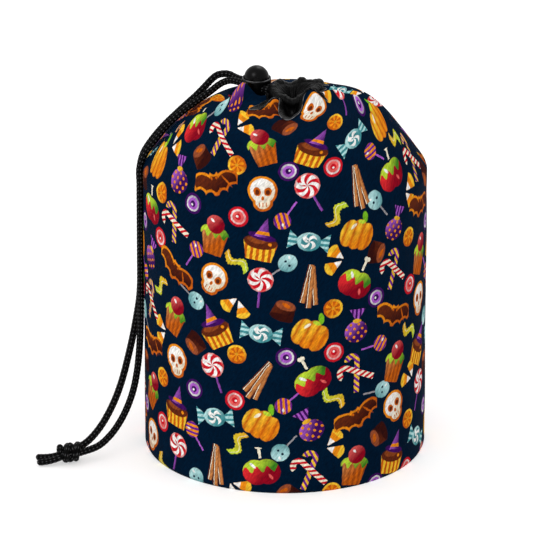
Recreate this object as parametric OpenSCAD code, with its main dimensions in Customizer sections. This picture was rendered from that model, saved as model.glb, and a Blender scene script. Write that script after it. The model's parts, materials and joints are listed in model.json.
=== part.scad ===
// Round drawstring treat pouch: a padded cylinder of cloth whose shoulder is
// gathered to a small black neck, closed by a cord and a spring cord lock.
// Millimetres. Z is up, the base rests on Z = 0 and X = Y = 0 is its centre.

/* [Body] */
// Outside diameter of the padded wall
body_d = 180; // [150:1:230]
// Height of the padded wall, from the floor to the fold of the shoulder
wall_h = 189; // [120:1:260]
// Thickness of the printed outer cloth
cloth_t = 0.8; // [0.4:0.1:1.2]
// Thickness of the foam between the outer cloth and the lining
padding_t = 3.2; // [1.5:0.1:6]
// Thickness of the lining cloth
lining_t = 0.6; // [0.3:0.1:1]
// Free space left between one layer of cloth or foam and the next
layer_gap = 0.2; // [0.1:0.05:0.3]

/* [Base] */
// Thickness of the foam disc in the base
base_foam_t = 3; // [1.5:0.1:6]
// Thickness of the plastic board that keeps the base flat
base_board_t = 1.5; // [0.8:0.1:3]
// Width of the tape that binds the inside seams
binding_w = 8; // [5:0.5:14]
// Thickness of the binding tape
binding_t = 0.8; // [0.4:0.1:1.2]

/* [Shoulder] */
// Height of the gathered shoulder above the padded wall
shoulder_h = 49.6; // [30:0.1:70]
// Roundness of the shoulder seen from above: lower is squarer
shoulder_round_r = 0.7; // [0.5:0.05:1]
// Roundness of the shoulder seen from the side: higher starts steeper
shoulder_round_z = 1.9; // [1.2:0.1:2.4]

/* [Neck] */
// Distance from the middle of the pouch to the middle of the closed neck
neck_x = 5; // [0:0.5:8]
// Radius at which the cord runs round the neck
cord_ring_r = 12.5; // [10:0.5:20]
// Thickness of the black casing cloth
casing_t = 0.8; // [0.4:0.1:1.2]
// Free space round the cord inside its tunnel
tunnel_gap = 0.4; // [0.3:0.1:1]
// Straight part of the tunnel's height
tunnel_flat = 2.5; // [0:0.5:6]
// Height of the cord above the edge of the printed cloth
cord_rise = 1.7; // [0:0.1:4]

/* [Cord] */
// Diameter of the drawcord
cord_d = 4.5; // [3:0.1:6]
// Radius of the knot that joins the two ends
knot_r = 6.2; // [5:0.1:8]
// Length of the knot over its round ends
knot_l = 15.4; // [14:0.1:20]

/* [Cord lock] */
// Compass bearing of the lock seen from the middle of the neck
lock_bearing = 155; // [150:1:165]
// Compass bearing along which the cord passes through the lock
lock_axis = 140; // [135:1:160]
// Outside radius of the barrel
barrel_r = 9.3; // [8.5:0.1:12]
// Radius of the push button
button_r = 8; // [7:0.1:9]
// Sliding clearance between the button and the barrel
button_gap = 0.3; // [0.2:0.05:0.4]
// Distance the button travels
button_travel = 3; // [1.5:0.1:4]
// Distance the lock slides along the straight run of the cord
slide_travel = 6; // [2:0.5:7]
// Height of the barrel's rim above the middle of the cord
rim_rise = 5.3; // [4:0.1:8]
// Thickness of the button's web under the cord
web_t = 1.5; // [1:0.1:3]
// Thickness of the barrel's floor
floor_t = 1.2; // [0.8:0.1:3]
// Wire diameter of the spring
wire_d = 0.8; // [0.5:0.1:1]
// Number of turns in the spring
spring_turns = 3; // [2:1:4]
// Space left round each cord in the lock's opening
cord_gap = 0.3; // [0.2:0.05:0.5]
// Space left between two neighbouring bodies
body_gap = 0.4; // [0.3:0.1:0.6]

/* [Hidden] */
$fn = 64;
cut = 0.5;
// How deep each free strand starts inside the button
strand_overlap = 0.7;

// Radii of the layers, from the outside in
body_r = body_d / 2;
cloth_in_r = body_r - cloth_t;
padding_r = cloth_in_r - layer_gap;
padding_in_r = padding_r - padding_t;
lining_r = padding_in_r - layer_gap;
lining_in_r = lining_r - lining_t;
binding_r = lining_in_r - layer_gap;

// Heights of the layers of the base, from the floor up
foam_z = cloth_t + layer_gap;
board_z = foam_z + base_foam_t + layer_gap;
base_lining_z = board_z + base_board_t + layer_gap;
lining_z = base_lining_z + lining_t + layer_gap;
binding_top_z = lining_z + binding_w;
padding_top_z = wall_h - 2;

// Neck: a tunnel for the cord above a short skirt
neck_c = [neck_x, 0, 0];
tunnel_r = cord_d / 2 + tunnel_gap;
casing_r = cord_ring_r + tunnel_r + casing_t;
edge_r = casing_r + body_gap;
edge_angle = acos(pow(edge_r / body_r, 1 / shoulder_round_r));
edge_z = wall_h + shoulder_h * pow(sin(edge_angle), shoulder_round_z);
cord_z = edge_z + cord_rise;
mouth_r = cord_ring_r - tunnel_r - casing_t;

// Cord lock
bore_r = button_r + button_gap;
slot_h = cord_d + 2 * cord_gap;
cord_pitch = cord_d + 0.3;
slot_w = slot_h + cord_pitch;
lock_c = neck_c + (casing_r + barrel_r + body_gap) * [cos(lock_bearing), sin(lock_bearing), 0];
rim_z = cord_z + rim_rise;
button_slot_z = cord_z - slot_h / 2;
button_bottom_z = button_slot_z - web_t;
spring_solid = (spring_turns + 1) * wire_d;
spring_z = button_bottom_z - button_travel - spring_solid;
barrel_z = spring_z - floor_t;
spring_r = 5.2;

// The shoulder dips under the lock, over the whole length of its slide
pocket_z = barrel_z - body_gap;
pocket_r = barrel_r + 2;
pocket_edge = 6;
casing_z = pocket_z - 0.2;
ring_n = 60;
shoulder_steps = 18;
neck_crowding = 1.5;

// Where the held cord ends and the free strands begin, inside the lock
slot_dir = [cos(lock_axis), sin(lock_axis), 0];
slot_side = [sin(lock_axis), -cos(lock_axis), 0];
strand_start = button_r - strand_overlap;
strand_straight = barrel_r + slide_travel + 0.6;

// Routes of the two strands, from the end of the straight run to the knot
back_route = [
    [-32.3, 25.6, 240.4], [-36, 27.7, 241.5], [-40, 28.3, 241.5], [-43.8, 28.2, 240.5],
    [-47.2, 27.2, 238], [-50.6, 26, 234.6], [-54.4, 24.8, 230.8], [-58.8, 23.4, 226.8],
    [-64.2, 21.4, 222.4], [-70.8, 18.4, 217], [-78, 14.8, 210.8], [-85, 11.4, 203.2],
    [-90.6, 8.8, 194.8], [-92.9, 6.8, 186], [-93, 4.8, 176], [-92.9, 3.6, 163], [-92.9, 2.8, 150],
    [-92.9, 2.4, 137], [-92.9, 2.2, 124], [-93, 2, 111], [-93.8, 1.6, 98],
    [-95.8, 0.2, 85], [-98.4, -3.8, 72], [-101.4, -9, 60], [-104.8, -14.2, 48],
    [-108.8, -19, 37.4], [-113.6, -23.6, 28], [-119.4, -28, 19.4], [-126.8, -31.8, 11.8],
    [-135.4, -34.8, 6.8]];
front_route = [
    [-35.4, 21.6, 239.4], [-39.2, 22.6, 238], [-42.9, 21.9, 236], [-46.6, 20, 233.6],
    [-51, 17.4, 231], [-56.4, 14.7, 228], [-62.4, 12.2, 224.4], [-68.8, 10, 219.8],
    [-75.5, 8, 213.8], [-82.2, 5.6, 206.2], [-89, 3, 197.6], [-92.9, 0.6, 188],
    [-92.9, -1.4, 177], [-92.9, -2.8, 165], [-92.9, -3.4, 152], [-92.9, -3.8, 139],
    [-92.9, -4, 126], [-92.9, -4, 113], [-92.9, -4.2, 100], [-93, -5, 87],
    [-93.4, -6.2, 74], [-94.2, -7.8, 62], [-95.6, -10.2, 50.4], [-98, -13.6, 39.4],
    [-101.8, -18, 29.4], [-106.8, -23, 20.8], [-113, -28.4, 13.8], [-121, -34.2, 8.8],
    [-133.6, -39.8, 6.3]];
back_tail = [[-144.6, -38.6, 5], [-150.5, -38.2, 3.4], [-156, -37.4, 2.6], [-160.5, -36.8, 2.5]];
front_tail = [[-145.2, -43.8, 5], [-150.5, -44.6, 3.4], [-155.5, -45, 2.6], [-159.5, -45.4, 2.5]];
knot_c = [-139.8, -39.6, 6.3];
knot_turn = 20;
strand_sides = 10;

// ---- shared shapes -------------------------------------------------------

module ring(r_out, r_in, z, h) {
    translate([0, 0, z]) difference() {
        cylinder(r = r_out, h = h);
        translate([0, 0, -cut]) cylinder(r = r_in, h = h + 2 * cut);
    }
}

module disc(r, z, h) {
    translate([0, 0, z]) cylinder(r = r, h = h);
}

// A closed skin between an outer and an inner stack of rings, lowest ring first
module skin(outer, inner) {
    m = len(outer);
    n = len(outer[0]);
    function at(i, k) = i * n + k % n;
    points = [for (r = concat(outer, inner)) each r];
    faces = [for (i = [0:m - 2], k = [0:n - 1]) each [
            [at(i, k), at(i + 1, k), at(i + 1, k + 1), at(i, k + 1)],
            [at(m + i, k), at(m + i, k + 1), at(m + i + 1, k + 1), at(m + i + 1, k)]]];
    low = [for (k = [0:n - 1]) [at(0, k), at(0, k + 1), at(m, k + 1), at(m, k)]];
    top = [for (k = [0:n - 1]) [at(m - 1, k), at(2 * m - 1, k), at(2 * m - 1, k + 1), at(m - 1, k + 1)]];
    polyhedron(points = points, faces = concat(faces, low, top), convexity = 6);
}

// A round tube along a route; up is a direction that the route never takes
module tube(route, d, sides, up = [0, 1, 0]) {
    m = len(route);
    function unit(v) = v / norm(v);
    function along(i) = unit(route[min(i + 1, m - 1)] - route[max(i - 1, 0)]);
    function hoop(i) = let (t = along(i), a = unit(cross(t, up)), b = cross(a, t))
        [for (k = [0:sides - 1]) route[i] + d / 2 * (cos(360 * k / sides) * a + sin(360 * k / sides) * b)];
    function at(i, k) = i * sides + k % sides;
    points = [for (i = [0:m - 1]) each hoop(i)];
    side = [for (i = [0:m - 2], k = [0:sides - 1])
        [at(i, k), at(i, k + 1), at(i + 1, k + 1), at(i + 1, k)]];
    start = [[for (k = [sides - 1:-1:0]) at(0, k)]];
    end = [[for (k = [0:sides - 1]) at(m - 1, k)]];
    polyhedron(points = points, faces = concat(side, start, end), convexity = 10);
}

// A bar with round sides, two cords wide, along the cord's way through the lock
module cord_slot(length, h, z = cord_z) {
    translate([lock_c[0], lock_c[1], z]) rotate([0, 0, lock_axis]) {
        translate([-length / 2, -cord_pitch / 2, -h / 2]) cube([length, cord_pitch, h]);
        for (s = [-1, 1])
            translate([-length / 2, s * cord_pitch / 2, 0]) rotate([0, 90, 0]) cylinder(d = h, h = length);
    }
}

// A point beside the lock's middle: dist along the slot, side 1 at the back
function slot_point(dist, side) = [lock_c[0], lock_c[1], cord_z] + dist * slot_dir
    + side * cord_pitch / 2 * slot_side;

// ---- shoulder ------------------------------------------------------------

// Outline of the shoulder: angle 0 is the fold, edge_angle is the neck
function outline(angle) = [body_r * pow(cos(angle), shoulder_round_r),
    wall_h + shoulder_h * pow(sin(angle), shoulder_round_z)];
function outline_normal(angle) = let (a = max(angle - 1, 0), s = outline(a + 2) - outline(a))
    [s[1], -s[0]] / norm(s);
function neck_shift(angle) = neck_x * pow(angle / edge_angle, 3);
function inset(angle, depth) = outline(angle) - depth * outline_normal(angle);

function smooth(t) = let (c = min(max(t, 0), 1)) c * c * (3 - 2 * c);
function slide_dist(x, y) = let (v = [x - lock_c[0], y - lock_c[1]],
    s = min(max(v * [slot_dir[0], slot_dir[1]], 0), slide_travel))
    norm(v - s * [slot_dir[0], slot_dir[1]]);
function pocketed(p, depth) = let (
    w = 1 - smooth((slide_dist(p[0], p[1]) - pocket_r - depth) / pocket_edge),
    drop = max(p[2] - pocket_z + depth, 0))
    [p[0], p[1], p[2] - w * drop];

function hoop(r, z, shift) = [for (k = [0:ring_n - 1])
    [shift + r * cos(360 * k / ring_n), r * sin(360 * k / ring_n), z]];
function shoulder_angle(i) = edge_angle * (1 - pow(1 - i / shoulder_steps, neck_crowding));
function shoulder_hoop(i, depth) = let (a = shoulder_angle(i), p = inset(a, depth))
    [for (q = hoop(p[0], i == 0 ? wall_h : p[1], neck_shift(a))) pocketed(q, depth)];

module outer_shoulder() {
    color("midnightblue") skin(
        [for (i = [0:shoulder_steps]) shoulder_hoop(i, 0)],
        [for (i = [0:shoulder_steps]) shoulder_hoop(i, cloth_t)]);
}

// ---- body ----------------------------------------------------------------

module outer_wall() {
    color("midnightblue") ring(body_r, cloth_in_r, 0, wall_h);
}

module outer_base() {
    color("midnightblue") disc(padding_r, 0, cloth_t);
}

module wall_padding() {
    color("lightgrey") ring(padding_r, padding_in_r, foam_z, padding_top_z - foam_z);
}

module base_foam() {
    color("lightgrey") disc(padding_in_r - layer_gap, foam_z, base_foam_t);
}

module base_board() {
    color("dimgrey") disc(padding_in_r - layer_gap, board_z, base_board_t);
}

module base_lining() {
    color("black") disc(padding_in_r - layer_gap, base_lining_z, lining_t);
}

// The lining follows the wall and the shoulder, then turns up inside the neck
module lining() {
    depth = cloth_t + padding_t / 2;
    low_z = pocket_z - cloth_t - 2 * layer_gap - lining_t;
    neck_in_r = casing_r - casing_t - 2 * layer_gap;
    tunnel_z = cord_z - tunnel_flat / 2 - tunnel_r - casing_t - layer_gap;
    function stack(t) = concat(
        [hoop(lining_r - t, lining_z, 0), hoop(lining_r - t, padding_top_z, 0)],
        [for (i = [2:shoulder_steps - 1]) let (a = shoulder_angle(i), p = inset(a, depth + t))
            hoop(p[0], min(p[1], low_z + lining_t - t), neck_shift(a))],
        [hoop(neck_in_r - t, low_z + lining_t - t, neck_x), hoop(neck_in_r - t, tunnel_z, neck_x)]);
    color("dimgray") skin(stack(0), stack(lining_t));
}

module base_binding() {
    color("black") ring(binding_r, binding_r - binding_t, lining_z, binding_w);
}

module side_binding() {
    tape_w = 1.5 * binding_w;
    color("black") intersection() {
        ring(binding_r, binding_r - binding_t, binding_top_z + layer_gap,
            padding_top_z - 2 - binding_top_z - layer_gap);
        translate([-tape_w / 2, 0, 0]) cube([tape_w, body_r, wall_h]);
    }
}

// ---- neck ----------------------------------------------------------------

module tunnel_section(r) {
    translate([cord_ring_r - r, cord_z - tunnel_flat / 2]) square([2 * r, tunnel_flat]);
    for (s = [-1, 1]) translate([cord_ring_r, cord_z + s * tunnel_flat / 2]) circle(r = r);
}

module neck_casing() {
    color("black") difference() {
        translate(neck_c) rotate_extrude() difference() {
            union() {
                tunnel_section(tunnel_r + casing_t);
                translate([casing_r - casing_t, casing_z]) square([casing_t, cord_z - casing_z]);
            }
            tunnel_section(tunnel_r);
        }
        intersection() {
            cord_slot(60, slot_h + 2 * tunnel_gap);
            translate([lock_c[0], lock_c[1], cord_z]) rotate([0, 0, lock_axis])
                translate([-30, -15, -10]) cube([30, 30, 20]);
        }
    }
}

// One length of cord: round the tunnel, out of it and into the lock
module channel_cord() {
    reach = 2 * casing_r;
    color("black") {
        translate([neck_x, 0, cord_z]) rotate_extrude()
            translate([cord_ring_r, 0]) circle(d = cord_d);
        for (s = [-1, 1]) difference() {
            translate(slot_point(strand_start, s)) rotate([0, -90, lock_axis])
                cylinder(d = cord_d, h = reach);
            translate([neck_x, 0, cord_z - cord_d])
                cylinder(r = cord_ring_r, h = 2 * cord_d);
        }
    }
}

// ---- free cord -----------------------------------------------------------

function strand_route(side, points) = concat(
    [slot_point(strand_start, side), slot_point(strand_straight, side)], points);

module strand_back() {
    color("black") tube(strand_route(1, back_route), cord_d, strand_sides);
}

module strand_front() {
    color("black") tube(strand_route(-1, front_route), cord_d, strand_sides);
}

module cord_knot() {
    half = knot_l / 2 - knot_r;
    color("black") translate(knot_c) rotate([0, 90, knot_turn]) {
        translate([0, 0, -half]) cylinder(r = knot_r, h = 2 * half);
        for (s = [-1, 1]) translate([0, 0, s * half]) sphere(r = knot_r);
    }
}

module cord_tails() {
    color("black") {
        tube(back_tail, cord_d, strand_sides);
        tube(front_tail, cord_d, strand_sides);
    }
}

// ---- cord lock -----------------------------------------------------------

module lock_barrel() {
    foot = 1.2;
    color("black") difference() {
        translate([lock_c[0], lock_c[1], 0]) rotate_extrude() polygon([
            [0, barrel_z], [barrel_r - foot, barrel_z], [barrel_r, barrel_z + foot],
            [barrel_r, rim_z - foot / 2], [barrel_r - foot / 3, rim_z], [bore_r, rim_z],
            [bore_r, spring_z], [0, spring_z]]);
        cord_slot(4 * barrel_r, slot_h);
    }
}

// Domed head and hollow stem in one moulding, with a slot taller by its travel
module lock_plunger() {
    tall = slot_h + button_travel;
    color("black") difference() {
        translate([lock_c[0], lock_c[1], 0]) union() {
            translate([0, 0, button_bottom_z]) cylinder(r = button_r, h = rim_z - button_bottom_z);
            intersection() {
                translate([0, 0, rim_z]) sphere(r = button_r);
                translate([0, 0, rim_z]) cylinder(r = button_r + cut, h = button_r + cut);
            }
        }
        for (s = [0, 1]) cord_slot(4 * button_r, slot_h, cord_z + s * button_travel);
        translate([lock_c[0], lock_c[1], cord_z]) rotate([0, 0, lock_axis])
            translate([-2 * button_r, -slot_w / 2, 0]) cube([4 * button_r, slot_w, button_travel]);
    }
}

module lock_spring() {
    steps = 12;
    height = button_bottom_z - spring_z - wire_d;
    turns = spring_turns;
    function coil(i) = let (t = i / (steps * turns)) [
        spring_r * cos(360 * turns * t), spring_r * sin(360 * turns * t), height * t];
    color("silver") translate([lock_c[0], lock_c[1], spring_z + wire_d / 2])
        tube([for (i = [0:steps * turns]) coil(i)], wire_d, 6, [0, 0, 1]);
}

outer_wall();
outer_shoulder();
outer_base();
wall_padding();
base_foam();
base_board();
lining();
base_lining();
base_binding();
side_binding();
neck_casing();
channel_cord();
strand_back();
strand_front();
cord_knot();
cord_tails();
lock_barrel();
lock_spring();
lock_plunger();
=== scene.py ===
# %% [markdown]
# # A padded drawstring pouch
#
# The real pouch is a soft padded drum of printed cloth. A rounded shoulder closes over it, and a black
# sleeve round the mouth holds a cord. Both strands of the cord run through a push-button lock and hang
# down the side to one knot. The lesson builds each piece over a fixed engineering model, in metres.

# %% Load the engineering model
import json
import math

import bmesh
import bpy
from mathutils import Matrix, Vector, noise


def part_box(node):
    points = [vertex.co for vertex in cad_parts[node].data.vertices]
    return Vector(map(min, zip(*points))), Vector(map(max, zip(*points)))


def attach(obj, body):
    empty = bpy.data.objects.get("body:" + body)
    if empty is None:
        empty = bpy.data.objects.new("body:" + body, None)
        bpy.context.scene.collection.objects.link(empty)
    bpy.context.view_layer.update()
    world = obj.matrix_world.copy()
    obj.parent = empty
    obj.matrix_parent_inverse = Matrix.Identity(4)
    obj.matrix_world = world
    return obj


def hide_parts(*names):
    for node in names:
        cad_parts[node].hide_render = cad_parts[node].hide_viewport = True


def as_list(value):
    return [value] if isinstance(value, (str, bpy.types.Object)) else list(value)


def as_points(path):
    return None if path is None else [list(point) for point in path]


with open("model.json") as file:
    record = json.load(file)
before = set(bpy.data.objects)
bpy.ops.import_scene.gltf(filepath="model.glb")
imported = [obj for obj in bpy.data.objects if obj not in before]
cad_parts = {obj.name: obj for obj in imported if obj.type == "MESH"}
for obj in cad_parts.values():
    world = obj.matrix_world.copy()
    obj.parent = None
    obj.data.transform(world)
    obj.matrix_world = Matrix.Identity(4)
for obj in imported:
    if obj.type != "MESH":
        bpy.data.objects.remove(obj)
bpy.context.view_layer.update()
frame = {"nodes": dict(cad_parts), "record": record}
scene = bpy.context.scene
MM = 0.001

# %% [markdown]
# ## Camera and light
#
# A long lens from far away shows the pouch almost without perspective, from a little above. A bright world
# over a pale floor gives even light and still lets a faint shadow ground the pouch. Two lamps without
# shadows add only the gloss.

# %% Camera, floor, world and lamps
TILT = math.radians(21.5)
AIM = Vector((-0.0119, 0, 0.120))
CAMERA_AWAY = 4.19


def add_camera():
    data = bpy.data.cameras.new("front_camera")
    data.lens = 440
    data.clip_end = 20
    camera = bpy.data.objects.new("front_camera", data)
    camera.location = AIM + CAMERA_AWAY * Vector((0, -math.cos(TILT), math.sin(TILT)))
    camera.rotation_euler = (math.pi / 2 - TILT, 0, 0)
    scene.collection.objects.link(camera)
    scene.camera = camera


def add_lamp(name, place, size, power):
    data = bpy.data.lights.new(name, "AREA")
    data.size = size
    data.energy = power
    data.use_shadow = False
    lamp = bpy.data.objects.new(name, data)
    lamp.location = place
    lamp.rotation_euler = (AIM - Vector(place)).to_track_quat("-Z", "Y").to_euler()
    scene.collection.objects.link(lamp)


def add_floor():
    bm = bmesh.new()
    bmesh.ops.create_grid(bm, x_segments=1, y_segments=1, size=6)
    mesh = bpy.data.meshes.new("pale_floor")
    bm.to_mesh(mesh)
    bm.free()
    floor = bpy.data.objects.new("pale_floor", mesh)
    paint = bpy.data.materials.new("pale_floor")
    paint.use_nodes = True
    paint.node_tree.nodes["Principled BSDF"].inputs["Base Color"].default_value = (0.96, 0.96, 0.96, 1)
    paint.node_tree.nodes["Principled BSDF"].inputs["Roughness"].default_value = 0.9
    paint.node_tree.nodes["Principled BSDF"].inputs["Specular IOR Level"].default_value = 0.0
    mesh.materials.append(paint)
    scene.collection.objects.link(floor)


add_camera()
add_floor()
add_lamp("left_softbox", (-1.1, -1.4, 1.9), 0.9, 24)
add_lamp("back_softbox", (0.5, 1.5, 1.9), 0.9, 14)
world = bpy.data.worlds.new("white_world")
world.use_nodes = True
world.node_tree.nodes["Background"].inputs["Color"].default_value = (1, 1, 1, 1)
world.node_tree.nodes["Background"].inputs["Strength"].default_value = 0.85
scene.world = world
scene.view_settings.view_transform = "Standard"
print("camera at", [round(part, 3) for part in scene.camera.location])

# %% [markdown]
# ## Shader sums
#
# A printed cloth needs hundreds of shader nodes, and wiring them by hand hides the idea. This small class
# wraps one node output, so that a sum in Python adds the node that works it out. Colours go through Mix
# nodes and places through Vector Math.


# %% A shader value
class Shade:
    """One node output of the material that is being made. A sum on it adds a node."""

    tree = None

    def __init__(self, socket):
        self.socket = socket

    @classmethod
    def node(cls, kind, values=(), out=0, **settings):
        made = cls.tree.nodes.new("ShaderNode" + kind)
        for name, value in settings.items():
            setattr(made, name, value)
        pairs = values.items() if isinstance(values, dict) else enumerate(values)
        for key, value in pairs:
            if isinstance(value, Shade):
                cls.tree.links.new(value.socket, made.inputs[key])
            else:
                made.inputs[key].default_value = value
        return cls(made.outputs[out])

    def math(self, operation, *others, clamp=False):
        return Shade.node("Math", (self, *others), operation=operation, use_clamp=clamp)

    def vector(self, operation, *others, out=0):
        return Shade.node("VectorMath", (self, *others), out, operation=operation)

    def split(self):
        parts = Shade.node("SeparateXYZ", (self,)).socket.node
        return [Shade(parts.outputs[axis]) for axis in range(3)]

    def __add__(self, other):
        return self.math("ADD", other)

    __radd__ = __add__

    def __sub__(self, other):
        return self.math("SUBTRACT", other)

    def __rsub__(self, other):
        return Shade.node("Math", (other, self), operation="SUBTRACT")

    def __mul__(self, other):
        return self.math("MULTIPLY", other)

    __rmul__ = __mul__

    def __abs__(self):
        return self.math("ABSOLUTE")

    def length(self):
        return self.vector("LENGTH", out=1)


def tint(red, green, blue):
    """A colour from 0 to 255 a channel, as the shader's own light values."""
    return (*(math.pow(part / 255, 2.2) for part in (red, green, blue)), 1)


def mix(under, over, mask):
    return Shade.node("Mix", {0: mask, 6: under, 7: over}, 2, data_type="RGBA")


def mix_value(low, high, mask):
    return Shade.node("Mix", {0: mask, 2: low, 3: high}, 0, data_type="FLOAT")


def cloudy(place, scale, detail=2.0):
    return Shade.node("TexNoise", {"Vector": place, "Scale": scale, "Detail": detail})


def new_material(name, fill):
    """fill() returns the colour, roughness, bump height, bump depth in metres and fixed settings."""
    material = bpy.data.materials.new(name)
    material.use_nodes = True
    Shade.tree = material.node_tree
    skin = material.node_tree.nodes["Principled BSDF"]
    colour, rough, height, depth, fixed = fill()
    for socket, value in (("Base Color", colour), ("Roughness", rough)):
        if isinstance(value, Shade):
            Shade.tree.links.new(value.socket, skin.inputs[socket])
        else:
            skin.inputs[socket].default_value = value
    for socket, value in fixed.items():
        skin.inputs[socket].default_value = value
    if height is not None:
        bump = Shade.node("Bump", {"Height": height, "Distance": depth, "Strength": 1.0})
        Shade.tree.links.new(bump.socket, skin.inputs["Normal"])
    print("material", name, "has", len(Shade.tree.nodes), "nodes")
    return material


# %% [markdown]
# ## Woven surfaces
#
# Every cloth here is a plain weave. Threads pass over and under each other, so the height is a sine along
# one thread times a sine along the other. The flat size of the cloth sits in its UV map in metres, so the
# threads keep their size over the shoulder and the folds.


# %% Weave
GLOSS = "Specular IOR Level"


def flat_place():
    return Shade.node("UVMap", uv_map="Flat")


def object_place():
    return Shade.node("TexCoord", out=3)


def weave(place, thread):
    """Height from 0 to 1 of a plain weave with that thread spacing in metres."""
    across, along, _ = place.split()
    turn = math.pi / thread
    over = (across * turn).math("SINE") * (along * turn).math("SINE")
    return over * 0.5 + 0.5


# %% [markdown]
# ## The printed sweets
#
# The cloth is printed all over with a mixed bag of sweets and bakes on very dark navy. An image would fix
# its sharpness and its layout. Here each sweet is drawn from discs, ovals and bars in millimetres inside
# its own cell of a grid, so the print stays sharp and each copy gets its own place and turn. Two grids lie
# half a cell apart: large motifs in one, small ones in the gaps.

# %% Masks for drawing in millimetres
EDGE = 3.2
NAVY = tint(0, 33, 54)
CREAM = tint(250, 240, 214)
WHITE = tint(252, 250, 246)
ORANGE = tint(240, 142, 28)
GOLD = tint(250, 196, 54)
AMBER = tint(200, 96, 22)
COCOA = tint(98, 44, 24)
DARK_COCOA = tint(58, 24, 18)
TAN = tint(206, 132, 74)
PURPLE = tint(112, 40, 140)
VIOLET = tint(170, 92, 196)
DEEP_PURPLE = tint(66, 22, 92)
GREEN = tint(122, 190, 40)
DEEP_GREEN = tint(62, 128, 36)
LIME = tint(190, 220, 60)
RED = tint(204, 30, 42)
DEEP_RED = tint(140, 16, 34)
PINK = tint(232, 96, 92)
TEAL = tint(176, 220, 220)
DEEP_TEAL = tint(70, 140, 146)
GREY = tint(150, 146, 150)


def soften(depth):
    """Turns a depth inside a shape, in mm, into a mask with a fine soft edge."""
    return depth.math("MULTIPLY_ADD", EDGE, 0.5, clamp=True)


def disc_depth(p, x, y, radius):
    return radius - p.vector("DISTANCE", (x, y, 0), out=1)


def oval_depth(p, x, y, half_x, half_y, turn=0.0):
    q = turned(p, turn, x, y) if turn else p
    q = q.vector("SUBTRACT", (x, y, 0)).vector("MULTIPLY", (1 / half_x, 1 / half_y, 1))
    return (1 - q.length()) * min(half_x, half_y)


def disc(p, x, y, radius):
    return soften(disc_depth(p, x, y, radius))


def oval(p, x, y, half_x, half_y, turn=0.0):
    return soften(oval_depth(p, x, y, half_x, half_y, turn))


def within(value, middle, half):
    return value.math("COMPARE", middle, half)


def bar(x, y, middle_x, middle_y, half_x, half_y):
    return within(x, middle_x, half_x) * within(y, middle_y, half_y)


def turned(p, angle, x=0.0, y=0.0):
    return Shade.node(
        "VectorRotate", {"Vector": p, "Center": (x, y, 0), "Angle": angle}, rotation_type="Z_AXIS")


def lit(dark, light, p, x=-0.09, y=0.09, middle=0.5):
    """A colour that lightens towards one side, as paint from a brush does."""
    side = p.vector("DOT_PRODUCT", (x, y, 0), out=1).math("ADD", middle, clamp=True)
    return mix(dark, light, side)


def wave(value, rate, shift=0.0):
    return value.math("MULTIPLY_ADD", rate, shift).math("SINE")


def stripes(value, rate, shift=0.0):
    return wave(value, rate, shift).math("MULTIPLY_ADD", 2.5, 0.5, clamp=True)


# %% Large motifs
def hat_cake(ink, p):
    """A small cake in a fluted case, with a pointed hat on its icing."""
    x, y, _ = p.split()
    case = soften(y * 0.22 + 8.3 - abs(x)) * within(y, -5.6, 4.6)
    ink = mix(ink, mix(AMBER, GOLD, stripes(x, 2.2)), case)
    ink = mix(ink, COCOA, oval(p, 0, -1.0, 8.0, 3.4))
    ink = mix(ink, tint(140, 70, 34), oval(p, -1.6, 0.0, 4.6, 1.8))
    ink = mix(ink, ORANGE, disc(p, 4.6, -1.4, 0.8))
    ink = mix(ink, DEEP_PURPLE, oval(p, 0.4, 2.0, 6.6, 1.8, 0.12))
    lean = abs(x - y * 0.16)
    cone = soften((11.6 - y) * 0.38 - lean) * within(y, 7.0, 5.2)
    ink = mix(ink, lit(DEEP_PURPLE, VIOLET, p, -0.16, 0.02), cone)
    return mix(ink, ORANGE, cone * within(y, 3.8, 0.9))


def drip_cake(ink, p):
    """A tall cup with green icing that runs down, and a sugared ball on top."""
    x, y, _ = p.split()
    cup = soften(y * 0.2 + 6.6 - abs(x)) * within(y, -4.6, 5.6)
    ink = mix(ink, lit(AMBER, TAN, p), cup)
    ink = mix(ink, COCOA, cup * stripes(x, 2.4) * 0.45)
    run = soften(y + wave(x, 1.5, 0.6) * 1.3 + 0.4) * oval(p, 0, 0.4, 7.4, 4.4)
    ink = mix(ink, lit(DEEP_GREEN, LIME, p), run)
    ink = mix(ink, lit(DEEP_RED, PINK, p, -0.12, 0.1, -0.3), disc(p, 0, 5.2, 4.6))
    return mix(ink, WHITE, oval(p, -1.7, 6.9, 1.1, 0.6, 0.6))


def skull_biscuit(ink, p):
    """A skull-shaped biscuit with cream icing inside a baked rim."""
    x, y, _ = p.split()
    head = disc_depth(p, 0, 2.0, 9.0).math("MAXIMUM", oval_depth(p, 0, -5.0, 6.0, 5.4))
    ink = mix(ink, lit(AMBER, ORANGE, p), soften(head))
    ink = mix(ink, lit(tint(226, 208, 170), WHITE, p, -0.05, 0.05, 0.6), soften(head - 1.5))
    for side in (-1, 1):
        ink = mix(ink, AMBER, oval(p, side * 3.3, 1.4, 2.3, 2.7, side * 0.3))
        ink = mix(ink, COCOA, oval(p, side * 3.2, 1.0, 1.3, 1.6))
    ink = mix(ink, AMBER, oval(p, 0, -2.6, 0.9, 1.4))
    return mix(ink, AMBER, within(x.math("PINGPONG", 1.0), 0, 0.28) * bar(x, y, 0, -6.4, 3.2, 1.3))


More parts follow.
